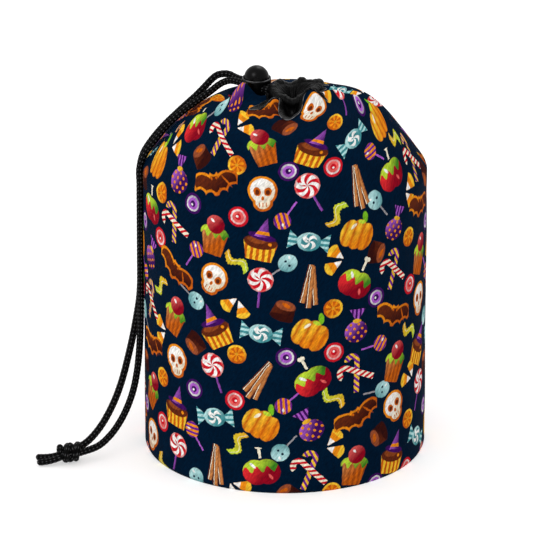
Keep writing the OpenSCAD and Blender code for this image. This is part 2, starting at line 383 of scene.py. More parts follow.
def bat_biscuit(ink, p):
    """A bat-shaped biscuit of dark dough with a baked rim."""
    wings = oval_depth(p, -6.2, 0.6, 6.4, 4.6, 0.25)
    wings = wings.math("MAXIMUM", oval_depth(p, 6.2, 0.6, 6.4, 4.6, -0.25))
    wings = wings.math("MAXIMUM", oval_depth(p, 0, 0.2, 3.6, 5.2))
    bites = ((-9.0, -4.6, 3.4), (-3.6, -5.6, 2.6), (3.6, -5.6, 2.6), (9.0, -4.6, 3.4), (0, 6.4, 2.4))
    for x, y, radius in bites:
        wings = wings.math("MINIMUM", disc_depth(p, x, y, radius) * -1)
    ink = mix(ink, lit(AMBER, ORANGE, p), soften(wings))
    ink = mix(ink, lit(DARK_COCOA, COCOA, p, -0.05, 0.12), soften(wings - 1.0))
    for side in (-1, 1):
        ink = mix(ink, AMBER, oval(p, side * 1.3, 2.4, 0.5, 0.7))
    return mix(ink, AMBER, oval(p, 6.0, 0.6, 0.4, 3.0, -0.6))


def pumpkin(ink, p):
    """A ribbed pumpkin with a green stalk."""
    x, y, _ = p.split()
    ink = mix(ink, lit(DEEP_GREEN, GREEN, p), oval(p, 1.2, 9.2, 1.5, 3.0, -0.5))
    body = oval_depth(p, 0, -0.6, 5.4, 8.0).math("MAXIMUM", oval_depth(p, -4.8, -1.0, 4.8, 7.2))
    body = body.math("MAXIMUM", oval_depth(p, 4.8, -1.0, 4.8, 7.2))
    ribs = abs((x * 0.66).math("COSINE"))
    ink = mix(ink, mix(AMBER, lit(ORANGE, GOLD, p), ribs), soften(body))
    ink = mix(ink, CREAM, oval(p, -3.6, 3.0, 0.8, 2.0, 0.5))
    return mix(ink, LIME, oval(p, 0.2, 6.2, 2.2, 1.0))


def dipped_apple(ink, p):
    """A red apple on a stick, dipped in green sugar."""
    x, y, _ = p.split()
    ink = mix(ink, CREAM, bar(x, y, 0.4, 10.0, 0.75, 3.6))
    ink = mix(ink, CREAM, disc(p, -0.4, 13.0, 1.2))
    ink = mix(ink, CREAM, disc(p, 1.2, 13.0, 1.2))
    body = disc_depth(p, -3.0, -1.6, 7.2).math("MAXIMUM", disc_depth(p, 3.0, -1.6, 7.2))
    ink = mix(ink, lit(DEEP_RED, tint(226, 48, 52), p), soften(body))
    sugar = soften(body.math("MINIMUM", y + wave(x, 1.05, 0.9) * 1.7))
    ink = mix(ink, lit(DEEP_GREEN, LIME, p), sugar)
    ink = mix(ink, WHITE, oval(p, -4.2, 2.4, 0.8, 2.0, -0.7))
    return mix(ink, PINK, oval(p, 4.6, -4.6, 0.7, 1.8, -0.5))


def wrapped_sweet(ink, p):
    """A round sweet twisted into pale paper."""
    x, y, _ = p.split()
    far = abs(x)
    fan = soften((far - 4.2) * 0.75 - abs(y)) * within(far, 7.8, 3.6)
    ink = mix(ink, mix(DEEP_TEAL, TEAL, stripes(y, 2.2, 0.8)), fan)
    ink = mix(ink, lit(DEEP_TEAL, TEAL, p), oval(p, 0, 0, 6.6, 5.4))
    sweep = stripes(y.math("ARCTAN2", x) * 4 + p.length() * 1.1, 1.0)
    ink = mix(ink, mix(DEEP_TEAL, WHITE, sweep), disc(p, 0, 0, 4.4))
    return mix(ink, WHITE, oval(p, -1.6, 1.9, 1.3, 0.6, 0.6))


def swirl_pop(ink, p):
    """A big lollipop with a red and white swirl on a purple stick."""
    x, y, _ = p.split()
    ink = mix(ink, lit(DEEP_PURPLE, VIOLET, p, -0.4, 0), bar(x, y, 0, -8.0, 0.7, 5.4))
    q = p.vector("SUBTRACT", (0, 4.0, 0))
    across, up, _ = q.split()
    away = q.length()
    sweep = stripes(up.math("ARCTAN2", across) * 6 + away * 0.85, 1.0)
    ink = mix(ink, mix(RED, WHITE, sweep), soften(7.4 - away))
    ink = mix(ink, PINK, soften(7.4 - away) * soften(away - 6.5) * 0.7)
    return mix(ink, WHITE, oval(p, -2.6, 6.8, 1.6, 0.7, 0.7))


def cane(ink, p, turn, colour, light):
    """One striped cane with a hooked top."""
    q = turned(p, turn)
    x, y, _ = q.split()
    hook = abs(q.vector("DISTANCE", (-2.6, 6.0, 0), out=1) - 2.8)
    hook = soften(1.5 - hook) * y.math("GREATER_THAN", 6.0)
    stem = bar(x, y, 0.2, -2.6, 1.5, 8.6)
    return mix(ink, mix(colour, light, stripes(x * 0.9 + y, 1.9)), hook.math("MAXIMUM", stem))


def crossed_canes(ink, p):
    """Two canes laid over each other."""
    return cane(cane(ink, p, 0.55, PURPLE, GOLD), p, -0.6, RED, CREAM)


def gold_tied_bag(ink, p):
    """A purple bag of sweets tied at the neck with gold."""
    x, y, _ = p.split()
    top = soften((y - 2.6) * 0.62 - abs(x) + 0.6) * within(y, 6.6, 3.4)
    ink = mix(ink, mix(DEEP_PURPLE, VIOLET, stripes(x, 2.4)), top)
    sack = oval(p, 0, -3.6, 7.4, 6.4)
    ink = mix(ink, lit(DEEP_PURPLE, VIOLET, p), sack)
    dots = soften(wave(x, 1.25) * wave(y, 1.25, 0.8) * 2 - 1.0)
    ink = mix(ink, ORANGE, sack * dots)
    return mix(ink, lit(AMBER, GOLD, p), oval(p, 0, 2.8, 2.6, 1.3))


def wafer_sticks(ink, p):
    """Three rolled wafers side by side."""
    for turn, x_at, y_at in ((0.16, -1.8, 0.6), (-0.14, 2.0, -0.4), (0.02, 0.2, -1.6)):
        q = turned(p, turn)
        x, y, _ = q.split()
        roll = bar(x, y, x_at, y_at, 1.45, 10.4)
        shade = wave(x, 2.1, -2.1 * x_at + 0.8) * 0.5 + 0.5
        ink = mix(ink, mix(COCOA, TAN, shade), roll)
        ink = mix(ink, CREAM, roll * within(x, x_at - 0.7, 0.18))
    return ink


# %% Small motifs
def corn_piece(ink, p, x_at, turn):
    """One pointed sugar corn in three bands."""
    q = turned(p.vector("SUBTRACT", (x_at, 0, 0)), turn)
    x, y, _ = q.split()
    body = soften(((5.0 - y) * 0.46 - abs(x)).math("MINIMUM", 4.6 - q.length()))
    ink = mix(ink, GOLD, body)
    ink = mix(ink, ORANGE, body * soften(y + 1.8))
    return mix(ink, WHITE, body * soften(y - 1.2))


def sugar_corn(ink, p):
    """Two sugar corns."""
    return corn_piece(corn_piece(ink, p, -3.4, 0.5), p, 3.4, -0.7)


def ring_sweet(ink, p, outer=DEEP_PURPLE, inner=VIOLET):
    """A flat round sweet with rings."""
    away = p.length()
    ink = mix(ink, outer, soften(6.2 - away))
    ink = mix(ink, lit(outer, WHITE, p, -0.04, 0.04, 0.55), soften(4.7 - away))
    ink = mix(ink, inner, soften(3.6 - away))
    ink = mix(ink, outer, soften(1.9 - away))
    return mix(ink, WHITE, disc(p, -0.4, 0.5, 0.7))


def red_wheel(ink, p):
    """The same round sweet in red."""
    return ring_sweet(ink, p, RED, PINK)


def jelly_worm(ink, p):
    """A ribbed jelly worm."""
    x, y, _ = p.split()
    ribs = wave(x, 4.4) * 0.16
    body = soften(1.6 + ribs - abs(y - wave(x, 0.6) * 1.7) * 0.85)
    body = body * soften(6.8 - p.length())
    along = x.math("MULTIPLY_ADD", 0.07, 0.5, clamp=True)
    ink = mix(ink, mix(tint(232, 170, 40), LIME, along), body)
    return mix(ink, CREAM, body * within(y - wave(x, 0.6) * 1.7, 0.6, 0.22) * 0.6)


def chocolate(ink, p):
    """A moulded chocolate with a lighter top."""
    x, y, _ = p.split()
    side = soften(5.6 - y * 0.12 - abs(x)) * within(y, -2.0, 3.6)
    ink = mix(ink, lit(DARK_COCOA, COCOA, p), side)
    ink = mix(ink, DARK_COCOA, oval(p, 0, -5.2, 6.0, 2.0))
    ink = mix(ink, tint(150, 78, 48), oval(p, 0, 1.8, 5.2, 2.6))
    return mix(ink, AMBER, oval(p, 0.2, 2.0, 2.6, 1.1, 0.3))


def balloon_pop(ink, p):
    """A pale lollipop on a thin stick."""
    x, y, _ = p.split()
    ink = mix(ink, GREY, bar(x, y, 0, -5.2, 0.45, 4.4))
    ink = mix(ink, lit(DEEP_TEAL, TEAL, p), oval(p, 0, 2.6, 4.4, 4.8))
    ink = mix(ink, NAVY, disc(p, -1.3, 2.4, 0.65))
    ink = mix(ink, NAVY, disc(p, 1.5, 2.4, 0.65))
    return mix(ink, WHITE, oval(p, -1.8, 5.0, 0.9, 0.5, 0.6))


def citrus_slice(ink, p):
    """A sugared slice with a rim and segments."""
    x, y, _ = p.split()
    away = p.length()
    ink = mix(ink, lit(AMBER, GOLD, p), soften(5.8 - away))
    parts = stripes(y.math("ARCTAN2", x), 7.0)
    return mix(ink, mix(ORANGE, AMBER, parts), soften(4.5 - away) * soften(away - 1.0))


def mini_pop(ink, p):
    """A small lollipop in orange and purple bands."""
    x, y, _ = p.split()
    ink = mix(ink, VIOLET, bar(x, y, 0, -4.8, 0.5, 4.6))
    ink = mix(ink, mix(ORANGE, PURPLE, stripes(x * 0.8 + y, 1.9)), disc(p, 0, 2.8, 4.4))
    return mix(ink, WHITE, oval(p, -1.6, 4.4, 1.0, 0.5, 0.7))


# Each motif with the size it is printed at
LARGE_MOTIFS = (
    (hat_cake, 1.34), (bat_biscuit, 1.46), (dipped_apple, 1.2), (wrapped_sweet, 1.16), (skull_biscuit, 1.06),
    (crossed_canes, 1.26), (pumpkin, 1.24), (swirl_pop, 1.1), (drip_cake, 1.36), (gold_tied_bag, 1.12),
    (wafer_sticks, 1.26))
SMALL_MOTIFS = (
    (sugar_corn, 1.3), (ring_sweet, 1.06), (jelly_worm, 1.34), (chocolate, 1.22), (red_wheel, 1.06),
    (balloon_pop, 1.3), (citrus_slice, 1.1), (mini_pop, 1.24))

# %% [markdown]
# ### Laying out the motifs
#
# Each cell's own numbers come from white noise on its row and column. They shift and turn its motif. The
# motif's number steps through the list along the rows and columns, so the same sweet never sits next to
# itself. Every other motif is pushed far away in that cell, which hides it without a mask on each layer.

# %% Two grids of motifs
PITCH = 0.5655 / 18
FAR = 1000.0


def lay_motifs(ink, cloth, motifs, shift, steps, jitter, most_turn):
    grid = cloth.vector("MULTIPLY_ADD", (1 / PITCH, 1 / PITCH, 0), (shift, shift, 0))
    cell = grid.vector("FLOOR")
    chance = Shade.node("TexWhiteNoise", {"Vector": cell}, 1, noise_dimensions="2D")
    nudge = chance.vector("MULTIPLY_ADD", (jitter, jitter, 0), (-0.5 - jitter / 2, -0.5 - jitter / 2, 0))
    spot = grid.vector("SUBTRACT", cell).vector("ADD", nudge)
    spot = spot.vector("MULTIPLY", (PITCH / MM, PITCH / MM, 0))
    column, row, _ = cell.split()
    number = (column * steps[0] + row * steps[1]).math("FLOORED_MODULO", len(motifs))
    turn = (chance.split()[2] - 0.5) * (2 * most_turn)
    spot = turned(spot, turn)
    for index, (motif, size) in enumerate(motifs):
        away = within(number, index, 0.5).math("MULTIPLY_ADD", -FAR, FAR)
        ink = motif(ink, spot.vector("MULTIPLY_ADD", (1 / size, 1 / size, 0), away))
    return ink


def printed_cloth():
    cloth = flat_place()
    wobble = Shade.node("TexNoise", {"Vector": cloth, "Scale": 420.0, "Detail": 1.0}, 1)
    cloth = cloth.vector("ADD", wobble.vector("MULTIPLY_ADD", (0.0008, 0.0008, 0), (-0.0004, -0.0004, 0)))
    ink = mix(NAVY, tint(0, 24, 40), cloudy(cloth, 60.0))
    ink = lay_motifs(ink, cloth, SMALL_MOTIFS, 0.5, (3, 2), 0.09, 2.6)
    ink = lay_motifs(ink, cloth, LARGE_MOTIFS, 0.0, (3, 4), 0.07, 0.55)
    flat = flat_place()
    strokes = turned(flat, 0.6).vector("MULTIPLY", (900.0, 260.0, 1))
    brush = cloudy(strokes, 1.0, 4.0).math("MULTIPLY_ADD", 3.0, -1.0, clamp=True)
    ink = mix(tint(8, 14, 24), ink, mix_value(0.52, 0.96, brush))
    threads = weave(flat, 0.00055)
    rough = mix_value(0.72, 0.86, threads)
    return ink, rough, threads, 0.00006, {GLOSS: 0.01}


PRINT = new_material("printed_cloth", printed_cloth)

# %% [markdown]
# ## Plain finishes
#
# The sleeve is thin satin with a soft shine that moves over its creases, with painted shade in the crease
# hollows and painted sheen on their ridges. The cord is braided polyester: small bundles cross over each
# other and catch the light in rows, helped by a painted highlight on each crown. The lock is moulded
# plastic with a fine grain. Hidden layers still get their own finish, because the pouch can be opened
# and cut away.


# %% Cloth, cord, plastic and metal finishes
BRAID_PITCH = 0.0027
BUNDLES = 4


def satin_sleeve():
    flat = flat_place()
    threads = weave(flat, 0.00035)
    creases_and_painted_shade = cloudy(flat.vector("MULTIPLY", (220.0, 60.0, 1)), 1.0, 4.0)
    # The colour is darker in the crease hollows and lighter on the ridges: painted shade and painted sheen.
    colour = mix(tint(1, 1, 2), tint(9, 9, 10), creases_and_painted_shade)
    rough = mix_value(0.24, 0.42, creases_and_painted_shade)
    return colour, rough, threads * 0.2 + creases_and_painted_shade, 0.0005, {GLOSS: 0.08}


def lining_cloth():
    flat = flat_place()
    threads = weave(flat, 0.0005)
    colour = mix(tint(22, 22, 26), tint(40, 40, 46), threads)
    return colour, mix_value(0.6, 0.8, threads), threads, 0.0001, {GLOSS: 0.2}


def braided_cord():
    flat = flat_place()
    around, along, _ = flat.split()
    one = wave(around * (2 * math.pi * BUNDLES) + along * (math.pi / BRAID_PITCH), 1.0)
    two = wave(around * (2 * math.pi * BUNDLES) - along * (math.pi / BRAID_PITCH), 1.0)
    bundles = one * two
    fibres = cloudy(flat.vector("MULTIPLY", (60.0, 6000.0, 1)), 1.0, 2.0)
    # Light grey on the crowns of the bundles: painted highlights.
    painted_crown_highlights = (bundles + fibres).math("MULTIPLY_ADD", 2.6, -2.6, clamp=True)
    colour = mix(tint(1, 1, 2), tint(10, 10, 11), fibres)
    colour = mix(colour, tint(120, 120, 122), painted_crown_highlights * 0.3)
    return colour, mix_value(0.5, 0.75, fibres), bundles * 0.5 + fibres * 0.5, 0.00016, {GLOSS: 0.05}


def moulded_plastic():
    place = object_place()
    grain = cloudy(place, 1500.0, 2.0)
    scuffs = cloudy(place.vector("MULTIPLY", (90.0, 90.0, 500.0)), 1.0, 3.0)
    colour = mix(tint(2, 2, 2), tint(9, 9, 10), scuffs)
    return colour, mix_value(0.22, 0.4, scuffs), grain, 0.00003, {GLOSS: 0.1}


def painted_rim_highlight():
    place = object_place()
    # Grey patches over near-black plastic: a painted highlight along the rim.
    highlight_patches = cloudy(place, 240.0, 3.0).math("MULTIPLY_ADD", 3.0, -1.0, clamp=True)
    return mix(tint(10, 10, 11), tint(96, 96, 98), highlight_patches), 0.35, highlight_patches, 0.00002, {GLOSS: 0.2}


def edge_thread():
    place = object_place()
    # Grey in noise patches along the rolled edge, over near-black thread.
    grey_patches = cloudy(place, 260.0, 3.0).math("MULTIPLY_ADD", 3.0, -1.1, clamp=True)
    return mix(tint(10, 10, 11), tint(120, 120, 122), grey_patches), 0.6, grey_patches, 0.00004, {GLOSS: 0.2}


def spring_steel():
    place = object_place()
    drawn = cloudy(place, 2500.0, 3.0)
    return tint(178, 178, 184), mix_value(0.22, 0.4, drawn), drawn, 0.00002, {"Metallic": 1.0}


def pad_foam():
    place = object_place()
    cells = Shade.node("TexVoronoi", {"Vector": place, "Scale": 900.0})
    colour = mix(tint(176, 176, 170), tint(224, 224, 218), cells)
    return colour, 0.9, cells, 0.0003, {GLOSS: 0.1}


def pressed_board():
    place = object_place()
    pulp = cloudy(place, 700.0, 5.0)
    return mix(tint(104, 88, 68), tint(150, 132, 104), pulp), 0.85, pulp, 0.0001, {}


def woven_tape():
    place = object_place()
    ribs = (place.vector("DOT_PRODUCT", (0, 0, 1), out=1) * (2 * math.pi / 0.0006)).math("SINE") * 0.5 + 0.5
    return mix(tint(16, 16, 18), tint(42, 42, 46), ribs), 0.75, ribs, 0.0001, {}


def sewing_thread():
    place = object_place()
    twist = (place.vector("DOT_PRODUCT", (1, 1, 1), out=1) * (2 * math.pi / 0.0005)).math("SINE") * 0.5 + 0.5
    return mix(tint(10, 14, 26), tint(34, 40, 58), twist), 0.6, twist, 0.00005, {}


SATIN = new_material("satin_sleeve", satin_sleeve)
LINING = new_material("lining_cloth", lining_cloth)
BRAID = new_material("braided_cord", braided_cord)
PLASTIC = new_material("moulded_plastic", moulded_plastic)
PAINTED_RIM_HIGHLIGHT = new_material("painted_rim_highlight", painted_rim_highlight)
EDGE_THREAD = new_material("edge_thread", edge_thread)
STEEL = new_material("spring_steel", spring_steel)
FOAM = new_material("pad_foam", pad_foam)
BOARD = new_material("pressed_board", pressed_board)
TAPE = new_material("woven_tape", woven_tape)
THREAD = new_material("sewing_thread", sewing_thread)

for node, material in (
        ("lock_barrel", PLASTIC), ("lock_plunger", PLASTIC), ("lock_spring", STEEL), ("base_board", BOARD),
        ("base_binding", TAPE), ("side_binding", TAPE)):
    for slot in frame["nodes"][node].material_slots:
        slot.material = material

# %% [markdown]
# ## Rolling a grid into a piece
#
# The cloth, the sleeve, the linings and the cords are all one kind of shape: a flat grid rolled into a
# tube. A grid comes from an operator, each vertex moves to the place a function gives it, and the meeting
# edges are merged. The flat size goes to the UV map before the roll, so the pattern follows the cloth.


# %% Grid to piece
def make_piece(name, bm, body, material):
    mesh = bpy.data.meshes.new(name)
    bm.to_mesh(mesh)
    bm.free()
    mesh.shade_smooth()
    mesh.materials.append(material)
    piece = bpy.data.objects.new(name, mesh)
    scene.collection.objects.link(piece)
    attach(piece, body)
    print(name, "has", len(mesh.polygons), "faces")
    return piece


def rolled_grid(across, along, place, mark, capped=False):
    """place(turn, way) gives each point, and mark(turn, way, middle of the face's turn) its flat place."""
    bm = bmesh.new()
    bmesh.ops.create_grid(bm, x_segments=across, y_segments=along, size=0.5)
    flat = bm.loops.layers.uv.new("Flat")
    for face in bm.faces:
        middle = face.calc_center_median().x + 0.5
        for loop in face.loops:
            corner = loop.vert.co
            loop[flat].uv = mark(corner.x + 0.5, corner.y + 0.5, middle)
    for vert in bm.verts:
        vert.co = place(vert.co.x + 0.5, vert.co.y + 0.5)
    bmesh.ops.remove_doubles(bm, verts=bm.verts, dist=1e-6)
    if capped:
        bmesh.ops.holes_fill(bm, edges=[edge for edge in bm.edges if edge.is_boundary])
    bmesh.ops.recalc_face_normals(bm, faces=bm.faces)
    return bm


def thicken(piece, thickness, offset):
    wall = piece.modifiers.new("cloth_thickness", "SOLIDIFY")
    wall.thickness = thickness
    wall.offset = offset


# %% [markdown]
# ## The shape of the cloth
#
# The wall rises straight from the floor and keeps its width, because the padding holds it open. The
# shoulder curls over to the neck. Gathering pulls deep folds between rounded tongues of cloth, and a
# hollow leaves room for the lock. One function gives that surface, so that the print, the lining and the
# sleeve all follow the same folds.

# %% Sizes read from the engineering model
BODY_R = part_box("outer_wall")[1].x
WALL_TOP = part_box("outer_wall")[1].z
neck_low, neck_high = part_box("neck_casing")
NECK = Vector(((neck_low.x + neck_high.x) / 2, 0, 0))
NECK_R = (neck_high.x - neck_low.x) / 2
lock_low, lock_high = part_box("lock_barrel")
LOCK = Vector(((lock_low.x + lock_high.x) / 2, (lock_low.y + lock_high.y) / 2, 0))
LOCK_R = (lock_high.x - lock_low.x) / 2
RIM_Z = lock_high.z
slide = next(joint for joint in frame["record"]["behaviour"]["joints"] if joint["name"] == "lock_slide")
SLIDE = Vector(slide["axis"])
SLIDE_TRAVEL = slide["range_m"][1]

SHOULDER_H = 0.0496
ROUND_R = 0.7
ROUND_Z = 1.9
EDGE_R = NECK_R + 0.0004
EDGE_ANGLE = math.acos((EDGE_R / BODY_R) ** (1 / ROUND_R))
POCKET_R = LOCK_R + 0.0009
POCKET_Z = lock_low.z - 0.0004
POCKET_EDGE = 0.0036
CORNER_R = 0.001
SPREAD = 0.0008
FOOT_SPREAD = 0.0006
print("neck radius", round(NECK_R / MM, 2), "mm, lock at", [round(part / MM, 1) for part in LOCK])


# %% Smooth steps and the folds
def ease(t):
    t = min(max(t, 0.0), 1.0)
    return t * t * (3 - 2 * t)


def turn_gap(one, two):
    return (one - two + 180) % 360 - 180


def round_place(bearing, radius, height=0.0):
    """The point at a bearing in degrees round the axis."""
    angle = math.radians(bearing)
    return Vector((radius * math.cos(angle), radius * math.sin(angle), height))


# Bearing in degrees from the neck, half width in degrees, depth and reach in mm
FOLDS = (
    (-93, 18, 10.0, 25), (-137, 12, 8.5, 20), (-24, 9, 5.0, 15), (2, 8, 3.0, 14), (26, 9, 3.6, 16),
    (48, 9, 3.0, 13), (76, 10, 4.0, 17), (104, 9, 3.2, 13), (-158, 8, 3.0, 11))
# Place in mm from the axis, radius and height in mm of each swelling between the folds
SWELLS = (
    (-27, -2, 7, 10.5), (-8, -16, 6, 5.5), (15.5, -13, 8.6, 7.2), (27, 1, 8, 4), (22, 14, 7, 2.5),
    (50, 10, 21, 5.2))


def lock_distance(x, y):
    offset = Vector((x - LOCK.x, y - LOCK.y, 0))
    along = min(max(offset.dot(SLIDE), 0), SLIDE_TRAVEL)
    return (offset - SLIDE * along).length


def shoulder_point(bearing, angle, depth=0.0):
    """A point of the shoulder: bearing in degrees round the axis, angle in radians up its curl."""
    radius = BODY_R * math.cos(angle) ** ROUND_R - depth * math.cos(angle)
    height = WALL_TOP + SHOULDER_H * math.sin(angle) ** ROUND_Z - depth * math.sin(angle)
    shift = NECK.x * (angle / EDGE_ANGLE) ** 3
    radius += SPREAD * ease(1 - angle / 0.5)
    x = shift + radius * math.cos(math.radians(bearing))
    y = radius * math.sin(math.radians(bearing))
    past = max(radius - EDGE_R, 0) / MM
    for middle, half, drop, reach in FOLDS:
        narrow = half * (1 - 0.6 * min(past / reach, 1))
        near = math.exp(-(turn_gap(bearing, middle) / narrow) ** 2)
        height -= drop * MM * near * ease(1 - past / reach)
    for at_x, at_y, size, rise in SWELLS:
        away = math.hypot(x / MM - at_x, y / MM - at_y)
        height += rise * MM * ease(1 - away / size / 1.6)
    height += 0.0006 * noise.noise(Vector((x, y, height)) * 55) * ease(angle / 0.6)
    hollow = 1 - ease((lock_distance(x, y) - POCKET_R - depth) / POCKET_EDGE)
    height -= hollow * max(height - POCKET_Z + depth, 0)
    return Vector((x, y, height))


def wall_point(bearing, height, depth=0.0):
    """A point of the wall, which the padding keeps nearly straight."""
    radius = BODY_R + FOOT_SPREAD + (SPREAD - FOOT_SPREAD) * ease(height / 0.09) - depth
    soft = 0.0004 * noise.noise(round_place(bearing, 1, height * 9) * 2)
    radius += soft * ease(height / 0.03) * ease((WALL_TOP - height) / 0.03)
    return round_place(bearing, radius, height)


# %% The outline as one length of cloth
def outline_steps(count=120):
    """Lengths up the cloth at even steps of the curl, for the flat pattern."""
    total, last, steps = WALL_TOP, None, []
    for index in range(count + 1):
        angle = EDGE_ANGLE * index / count
        here = Vector((BODY_R * math.cos(angle) ** ROUND_R, SHOULDER_H * math.sin(angle) ** ROUND_Z))
        total += (here - last).length if last else 0
        last = here
        steps.append((total, angle))
    return steps


CURL = outline_steps()
CLOTH_LENGTH = CURL[-1][0]


def curl_angle(length):
    for (low, angle_low), (high, angle_high) in zip(CURL, CURL[1:]):
        if length <= high:
            return angle_low + (angle_high - angle_low) * max(length - low, 0) / (high - low)
    return EDGE_ANGLE


def cloth_place(bearing, length, depth=0.0):
    """A point of the cloth at a length up from the floor."""
    if length < CORNER_R * 1.5:
        lean = length / (CORNER_R * 1.5) * math.pi / 2
        inward = CORNER_R * (1 - math.sin(lean))
        return wall_point(bearing, CORNER_R * (1 - math.cos(lean)) + depth, depth + inward)
    if length < WALL_TOP:
        return wall_point(bearing, length, depth)
    return shoulder_point(bearing, curl_angle(length), depth)


def outer_place(turn, way):
    return cloth_place(90 + 360 * turn, way * CLOTH_LENGTH)


def outer_mark(turn, way, middle):
    """The flat place. Over the shoulder the front and back halves each keep the print's true width."""
    length = way * CLOTH_LENGTH
    round_turn = turn * 2 * math.pi
    centre = math.pi if 0.25 < middle < 0.75 else (0 if middle <= 0.25 else 2 * math.pi)
    radius = BODY_R
    if length > WALL_TOP:
        radius = BODY_R * math.cos(curl_angle(length)) ** ROUND_R
    return (BODY_R * centre + radius * (round_turn - centre), length)


print("cloth is", round(CLOTH_LENGTH / MM, 1), "mm from floor to neck")

# %% [markdown]
# ## The printed outer cloth
#
# The wall and shoulder are one length of cloth, sewn into a tube at the back. A cloth simulation would
# have to be drawn shut round a padded drum, and would change the folds each time. A grid placed by the
# surface function keeps the folds where the gathers put them, and a solidify gives it real thickness.

# %% Outer cloth
CLOTH_T = 0.0008
outer = make_piece(
    "outer_cloth", rolled_grid(240, 132, outer_place, outer_mark), "pouch", PRINT)
thicken(outer, CLOTH_T, -1)
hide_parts("outer_wall", "outer_shoulder")

# %% [markdown]
# ## The base cloth
#
# The base is a disc sewn into the bottom of the tube. Its seam sits on the rounded corner. It is spun
# from a short profile, with the print laid flat across it.


# %% Base cloth
def disc_place(radius, height):
    def place(turn, way):
        return round_place(360 * turn, radius * way, height)
    return place


def disc_mark(place):
    def mark(turn, way, middle):
        spot = place(turn, way)
        return (spot.x + 0.3, spot.y + 0.7)
    return mark


BASE_R = BODY_R + FOOT_SPREAD - CORNER_R - 0.0002
base_place = disc_place(BASE_R, 0)
base = make_piece(
    "base_cloth", rolled_grid(96, 12, base_place, disc_mark(base_place)), "pouch", PRINT)
thicken(base, CLOTH_T, -1)
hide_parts("outer_base")

# %% [markdown]
# ## Smooth lines through chosen points
#
# A cord is soft, so its line has no corners. A Catmull-Rom curve passes through each chosen point, and is
# then cut into even steps so that the braid keeps its size.


# %% Curves and tubes
def smooth_line(points, step):
    ends = [points[0] * 2 - points[1], *points, points[-1] * 2 - points[-2]]
    fine = []
    for a, b, c, d in zip(ends, ends[1:], ends[2:], ends[3:]):
        for part in range(16):
            t = part / 16
            fine.append(0.5 * (2 * b + (c - a) * t + (2 * a - 5 * b + 4 * c - d) * t ** 2
                               + (3 * b - a - 3 * c + d) * t ** 3))
    fine.append(points[-1])
    lengths = [0.0]
    for a, b in zip(fine, fine[1:]):
        lengths.append(lengths[-1] + (b - a).length)
    count = max(round(lengths[-1] / step), 2)
    line, index = [], 0
    for part in range(count + 1):
        want = lengths[-1] * part / count
        while index < len(lengths) - 2 and lengths[index + 1] < want:
            index += 1
        share = (want - lengths[index]) / max(lengths[index + 1] - lengths[index], 1e-9)
        line.append(fine[index].lerp(fine[index + 1], min(share, 1)))
    return line, lengths[-1]


def carried_frames(line):
    """Side vectors carried along the line with as little twist as possible."""
    ahead = (line[1] - line[0]).normalized()
    side = ahead.orthogonal().normalized()
    frames = []
    for index in range(len(line)):
        before, after = line[max(index - 1, 0)], line[min(index + 1, len(line) - 1)]
        new_ahead = (after - before).normalized()
        side = (ahead.rotation_difference(new_ahead) @ side).normalized()
        ahead = new_ahead
        frames.append((side, ahead.cross(side)))
    return frames


def braid_height(turn, length):
    round_turn = turn * 2 * math.pi * BUNDLES
    rise = length * math.pi / BRAID_PITCH
    return math.sin(round_turn + rise) * math.sin(round_turn - rise)


def cord_mesh(points, diameter, step=0.0006, sides=24, relief=0.00014, closed_tips=(1.0, 1.0)):
    """A braided cord along the points. closed_tips narrows its first and last steps."""
    line, length = smooth_line(points, step)
    frames = carried_frames(line)
    steps = len(line) - 1

    def place(turn, way):
        index = round(way * steps)
        side, up = frames[index]
        radius = diameter / 2 + relief * braid_height(turn, way * length)
        for tip, closed in enumerate(closed_tips):
            near = index if tip == 0 else steps - index
            radius *= 1 - (1 - closed) * (1 - min(near / 3, 1)) ** 2
        bearing = turn * 2 * math.pi
        return line[index] + (side * math.cos(bearing) + up * math.sin(bearing)) * radius

    bm = rolled_grid(sides, steps, place, lambda turn, way, middle: (turn, way * length), capped=True)
    return bm, line, length


def metres(points):
    return [Vector(point) * MM for point in points]


# %% [markdown]
# ## The cord
#
# The pouch has one cord. It circles the neck inside the sleeve, both strands pass through the lock, and
# they end in a shared overhand knot. The strands leave the lock straight, rise a little, fall over the
# shoulder and hang down the side to the table. Their points are listed, and each strand is about
# 0.30 m long from lock to knot.

# %% Routes of the cord in mm
CORD_D = 0.0045
CORD_PITCH = 0.0048
cord_low, cord_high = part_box("channel_cord")
CORD_Z = (cord_low.z + cord_high.z) / 2
CORD_RING_R = (cord_high.x - NECK.x) - CORD_D / 2
SLIDE_SIDE = Vector((-SLIDE.y, SLIDE.x, 0))
STRAND_START = 0.0073
STRAND_STRAIGHT = LOCK_R + SLIDE_TRAVEL + 0.0006
back_route = metres([
    [-32.3, 25.6, 240.4], [-36, 27.7, 241.5], [-40, 28.3, 241.5], [-43.8, 28.2, 240.5],
    [-47.2, 27.2, 238], [-50.6, 26, 234.6], [-54.4, 24.8, 230.8], [-58.8, 23.4, 226.8],
    [-64.2, 21.4, 222.4], [-70.8, 18.4, 217], [-78, 14.8, 210.8], [-85, 11.4, 203.2],
    [-90.6, 8.8, 194.8], [-92.9, 6.8, 186], [-93, 4.8, 176], [-92.9, 3.6, 163], [-92.9, 2.8, 150],
    [-92.9, 2.4, 137], [-92.9, 2.2, 124], [-93, 2, 111], [-93.8, 1.6, 98],
    [-95.8, 0.2, 85], [-98.4, -3.8, 72], [-101.4, -9, 60], [-104.8, -14.2, 48],
    [-108.8, -19, 37.4], [-113.6, -23.6, 28], [-119.4, -28, 19.4], [-126.8, -31.8, 11.8],
    [-135.4, -34.8, 6.8]])
